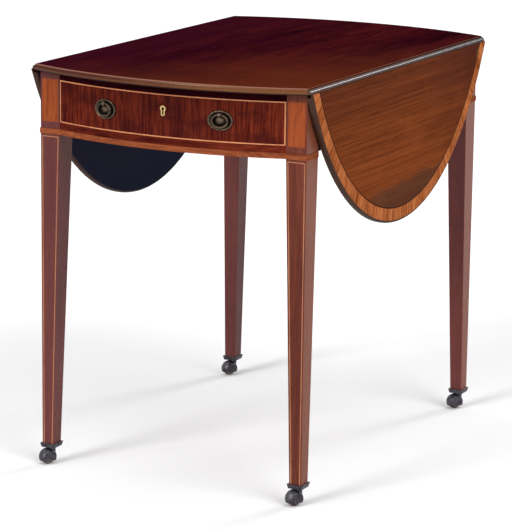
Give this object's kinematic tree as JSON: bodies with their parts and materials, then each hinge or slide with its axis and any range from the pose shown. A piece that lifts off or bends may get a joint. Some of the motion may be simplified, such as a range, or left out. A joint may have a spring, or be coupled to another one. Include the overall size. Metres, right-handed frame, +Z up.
{
  "type": "pembroke table",
  "caption": "Drop-leaf table with crossbanded rounded leaves, a bowed drawer front with ring handles, and square tapered legs on castors; leaves, drawer and castors move.",
  "frame": {"origin": "on the floor under the middle of the top", "axes": "+X to the right leaf, -Y to the drawer front, +Z up"},
  "size_m": [0.5366, 0.8408, 0.715],
  "materials": {
    "mahogany": "polished dark red-brown",
    "figured_mahogany": "polished, upright figure",
    "crossbanding": "polished orange-brown",
    "satinwood": "polished orange-brown",
    "boxwood": "polished pale line",
    "oak": "plain planed wood",
    "brass": "dull dark brass",
    "castor_brass": "dull dark brass",
    "iron": "dark dull metal"
  },
  "bodies": {
    "frame": {"top_board": "mahogany", "leg_front_left": "mahogany", "leg_front_right": "mahogany", "leg_back_left": "mahogany", "leg_back_right": "mahogany", "drawer_rail": "mahogany", "top_rail": "mahogany", "back_rail": "mahogany", "leg_panels": "satinwood", "apron_band": "satinwood", "frame_stringing": "boxwood", "left_rail": "oak", "right_rail": "oak", "drawer_runners": "oak", "drawer_stops": "oak", "glue_blocks": "oak", "fly_blocks": "oak", "back_handle_plates": "brass", "back_handle_posts": "brass", "back_handle_nuts": "brass", "castor_cups": "castor_brass", "top_hinge_flaps": "iron", "hinge_pins": "iron", "top_hinge_screws": "iron", "top_screws": "iron", "fly_pins": "iron"},
    "left_leaf": {"left_leaf": "mahogany", "left_leaf_crossband": "crossbanding", "left_leaf_hinge_flaps": "iron", "left_leaf_hinge_screws": "iron"},
    "right_leaf": {"right_leaf": "mahogany", "right_leaf_crossband": "crossbanding", "right_leaf_hinge_flaps": "iron", "right_leaf_hinge_screws": "iron"},
    "drawer": {"drawer_front": "figured_mahogany", "drawer_sides": "oak", "drawer_back": "oak", "drawer_bottom": "oak", "drawer_stringing": "boxwood", "keyhole_plate": "brass", "lock_case": "iron", "drawer_handle_plates": "brass", "drawer_handle_posts": "brass", "drawer_handle_nuts": "brass"},
    "lock_bolt": {"lock_bolt": "brass"},
    "drawer_ring_left": {"drawer_ring_left": "brass"},
    "drawer_ring_right": {"drawer_ring_right": "brass"},
    "back_ring_left": {"back_ring_left": "brass"},
    "back_ring_right": {"back_ring_right": "brass"},
    "castor_front_left_hood": {"castor_front_left_hood": "castor_brass"},
    "castor_front_left_wheel": {"castor_front_left_wheel": "castor_brass"},
    "castor_front_right_hood": {"castor_front_right_hood": "castor_brass"},
    "castor_front_right_wheel": {"castor_front_right_wheel": "castor_brass"},
    "castor_back_left_hood": {"castor_back_left_hood": "castor_brass"},
    "castor_back_left_wheel": {"castor_back_left_wheel": "castor_brass"},
    "castor_back_right_hood": {"castor_back_right_hood": "castor_brass"},
    "castor_back_right_wheel": {"castor_back_right_wheel": "castor_brass"},
    "left_fly": {"left_fly": "oak"},
    "right_fly": {"right_fly": "oak"}
  },
  "joints": [
    {"name": "left_leaf_hinge", "type": "hinge", "parent": "frame", "child": "left_leaf", "pos_m": [-0.2591, 0, 0.7058], "axis": [0, 1, 0], "range_deg": [0, 90]},
    {"name": "right_leaf_hinge", "type": "hinge", "parent": "frame", "child": "right_leaf", "pos_m": [0.2591, 0, 0.7058], "axis": [0, -1, 0], "range_deg": [0, 90]},
    {"name": "drawer_slide", "type": "slide", "parent": "frame", "child": "drawer", "axis": [0, -1, 0], "range_m": [0, 0.3]},
    {"name": "lock_bolt_slide", "type": "slide", "parent": "drawer", "child": "lock_bolt", "axis": [0, 0, 1], "range_m": [0, 0.0052]},
    {"name": "drawer_ring_left_hinge", "type": "hinge", "parent": "drawer", "child": "drawer_ring_left", "pos_m": [-0.11007, -0.38865, 0.6622], "axis": [-0.986, 0.1669, 0], "range_deg": [0, 100]},
    {"name": "drawer_ring_right_hinge", "type": "hinge", "parent": "drawer", "child": "drawer_ring_right", "pos_m": [0.11007, -0.38865, 0.6622], "axis": [-0.986, -0.1669, 0], "range_deg": [0, 100]},
    {"name": "back_ring_left_hinge", "type": "hinge", "parent": "frame", "child": "back_ring_left", "pos_m": [-0.11007, 0.38865, 0.6622], "axis": [0.986, 0.1669, 0], "range_deg": [0, 100]},
    {"name": "back_ring_right_hinge", "type": "hinge", "parent": "frame", "child": "back_ring_right", "pos_m": [0.11007, 0.38865, 0.6622], "axis": [0.986, -0.1669, 0], "range_deg": [0, 100]},
    {"name": "castor_front_left_swivel", "type": "hinge", "parent": "frame", "child": "castor_front_left_hood", "pos_m": [-0.24365, -0.3437, 0.013], "axis": [0, 0, 1], "continuous": true},
    {"name": "castor_front_left_roll", "type": "hinge", "parent": "castor_front_left_hood", "child": "castor_front_left_wheel", "pos_m": [-0.24765, -0.35063, 0.013], "axis": [0.866, -0.5, 0], "continuous": true},
    {"name": "castor_front_right_swivel", "type": "hinge", "parent": "frame", "child": "castor_front_right_hood", "pos_m": [0.24365, -0.3437, 0.013], "axis": [0, 0, 1], "continuous": true},
    {"name": "castor_front_right_roll", "type": "hinge", "parent": "castor_front_right_hood", "child": "castor_front_right_wheel", "pos_m": [0.23965, -0.35063, 0.013], "axis": [0.866, -0.5, 0], "continuous": true},
    {"name": "castor_back_left_swivel", "type": "hinge", "parent": "frame", "child": "castor_back_left_hood", "pos_m": [-0.24365, 0.3437, 0.013], "axis": [0, 0, 1], "continuous": true},
    {"name": "castor_back_left_roll", "type": "hinge", "parent": "castor_back_left_hood", "child": "castor_back_left_wheel", "pos_m": [-0.24765, 0.33677, 0.013], "axis": [0.866, -0.5, 0], "continuous": true},
    {"name": "castor_back_right_swivel", "type": "hinge", "parent": "frame", "child": "castor_back_right_hood", "pos_m": [0.24365, 0.3437, 0.013], "axis": [0, 0, 1], "continuous": true},
    {"name": "castor_back_right_roll", "type": "hinge", "parent": "castor_back_right_hood", "child": "castor_back_right_wheel", "pos_m": [0.23965, 0.33677, 0.013], "axis": [0.866, -0.5, 0], "continuous": true},
    {"name": "left_fly_hinge", "type": "hinge", "parent": "frame", "child": "left_fly", "pos_m": [-0.23895, 0.1, 0.6732], "axis": [0, 0, -1], "range_deg": [0, 2.4]},
    {"name": "right_fly_hinge", "type": "hinge", "parent": "frame", "child": "right_fly", "pos_m": [0.23895, 0.1, 0.6732], "axis": [0, 0, 1], "range_deg": [0, 2.4]}
  ]
}
